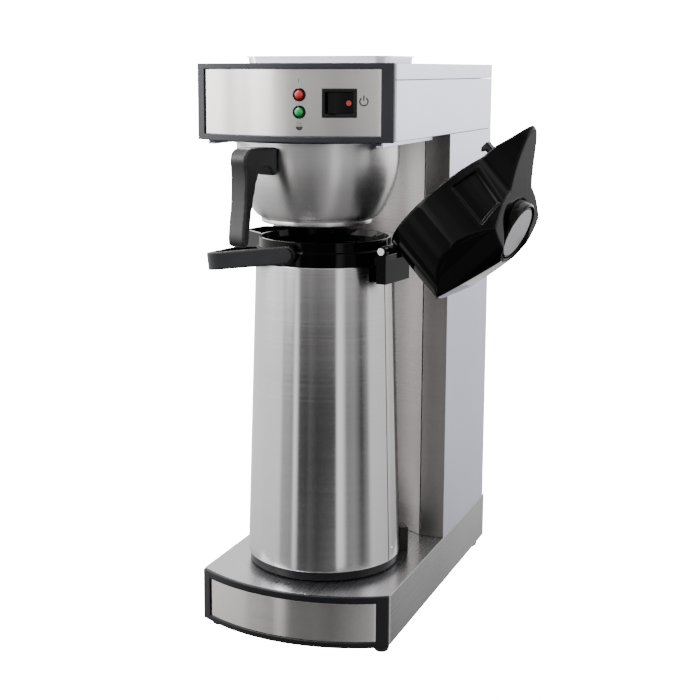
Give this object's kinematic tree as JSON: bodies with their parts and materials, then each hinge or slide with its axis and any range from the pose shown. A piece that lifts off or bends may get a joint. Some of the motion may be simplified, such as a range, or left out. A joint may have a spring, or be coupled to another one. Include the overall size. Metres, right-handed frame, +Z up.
{
  "type": "coffee brewer",
  "caption": "Pour-over coffee brewer: steel base, tower and head, a pull-out filter funnel, and a pump airpot with its lid swung open under the head.",
  "frame": {"origin": "middle of the underside of the whole object's box, with the airpot's lid open and its bail lying back; the underside is the plane the feet stand on", "axes": "+Z up, -Y is the front with the switch and lamps, +X is the side that the open lid hangs over"},
  "size_m": [0.328, 0.4264, 0.5746],
  "materials": {
    "casing_steel": "fine vertical brush, satin",
    "brushed_steel": "brushed, satin",
    "bright_steel": "bright drawn stainless steel",
    "bezel_plastic": "moulded, fine satin",
    "black_plastic": "moulded, satin",
    "handle_plastic": "moulded phenolic, satin sheen",
    "gloss_black": "high gloss moulding",
    "foot_rubber": "soft rubber",
    "red_lens": "tinted lens",
    "green_lens": "tinted lens",
    "element_copper": "nickelled copper sheath, dull",
    "silicone": "translucent silicone",
    "ceramic": "glazed block",
    "satin_disc": "satin plated"
  },
  "bodies": {
    "frame": {"base_shell": "casing_steel", "base_bottom_plate": "casing_steel", "base_bezel": "bezel_plastic", "base_front_plate": "brushed_steel", "foot_front_left": "foot_rubber", "foot_front_right": "foot_rubber", "foot_rear_left": "foot_rubber", "foot_rear_right": "foot_rubber", "pot_guide": "black_plastic", "tower_side_right": "casing_steel", "tower_side_left": "casing_steel", "tower_front_panel": "brushed_steel", "rear_cover": "casing_steel", "mains_inlet": "black_plastic", "terminal_block": "ceramic", "head_housing": "casing_steel", "head_bottom_pan": "casing_steel", "head_top_cover": "casing_steel", "fill_basin": "bright_steel", "basin_strainer": "bright_steel", "head_bezel": "bezel_plastic", "switch_frame": "gloss_black", "red_lamp": "red_lens", "red_lamp_ring": "gloss_black", "green_lamp": "green_lens", "green_lamp_ring": "gloss_black", "control_panel": "brushed_steel", "funnel_rail_right": "casing_steel", "funnel_rail_left": "casing_steel", "water_tank": "bright_steel", "tank_lid": "bright_steel", "heating_element": "element_copper", "thermostat": "black_plastic", "fill_tube": "silicone", "outlet_tube": "silicone", "spray_head": "bright_steel"},
    "rocker": {"switch_rocker": "gloss_black", "switch_lens": "red_lens"},
    "funnel": {"funnel_bowl": "brushed_steel", "funnel_handle": "handle_plastic", "filter_basket": "bright_steel"},
    "airpot": {"airpot_base_ring": "black_plastic", "airpot_body": "brushed_steel", "airpot_liner": "bright_steel", "airpot_collar": "gloss_black", "bail_pin_front": "black_plastic", "bail_pin_rear": "black_plastic", "pump_tube": "silicone", "tube_holder": "gloss_black", "hinge_bracket": "gloss_black", "hinge_pin": "bright_steel"},
    "bail": {"bail_handle": "handle_plastic"},
    "lid": {"lid_shell": "gloss_black", "lid_underside": "gloss_black", "air_bellows": "foot_rubber", "lid_latch": "gloss_black", "button_ring": "gloss_black", "button_spring": "bright_steel"},
    "button": {"push_button": "gloss_black", "button_disc": "satin_disc"}
  },
  "joints": [
    {"name": "switch_rock", "type": "hinge", "parent": "frame", "child": "rocker", "pos_m": [-0.00084, -0.15955, 0.5316], "axis": [0, 0, 1], "range_deg": [-20, 0]},
    {"name": "funnel_pull", "type": "slide", "parent": "frame", "child": "funnel", "axis": [0, -1, 0], "range_m": [0, 0.2]},
    {"name": "airpot_pull", "type": "slide", "parent": "frame", "child": "airpot", "axis": [0, -1, 0], "range_m": [0, 0.25]},
    {"name": "bail_swing", "type": "hinge", "parent": "airpot", "child": "bail", "pos_m": [-0.05348, -0.0606, 0.386], "axis": [0.1392, 0.9903, 0], "range_deg": [0, 30]},
    {"name": "lid_hinge", "type": "hinge", "parent": "airpot", "child": "lid", "pos_m": [0.02278, -0.07132, 0.389], "axis": [0.1392, 0.9903, 0], "range_deg": [-20, 0]},
    {"name": "button_press", "type": "slide", "parent": "lid", "child": "button", "axis": [-0.9081, 0.1276, 0.3987], "range_m": [0, 0.012], "stiffness_N_per_m": 600, "springref_m": -0.004, "deforming": ["button_spring"]}
  ]
}
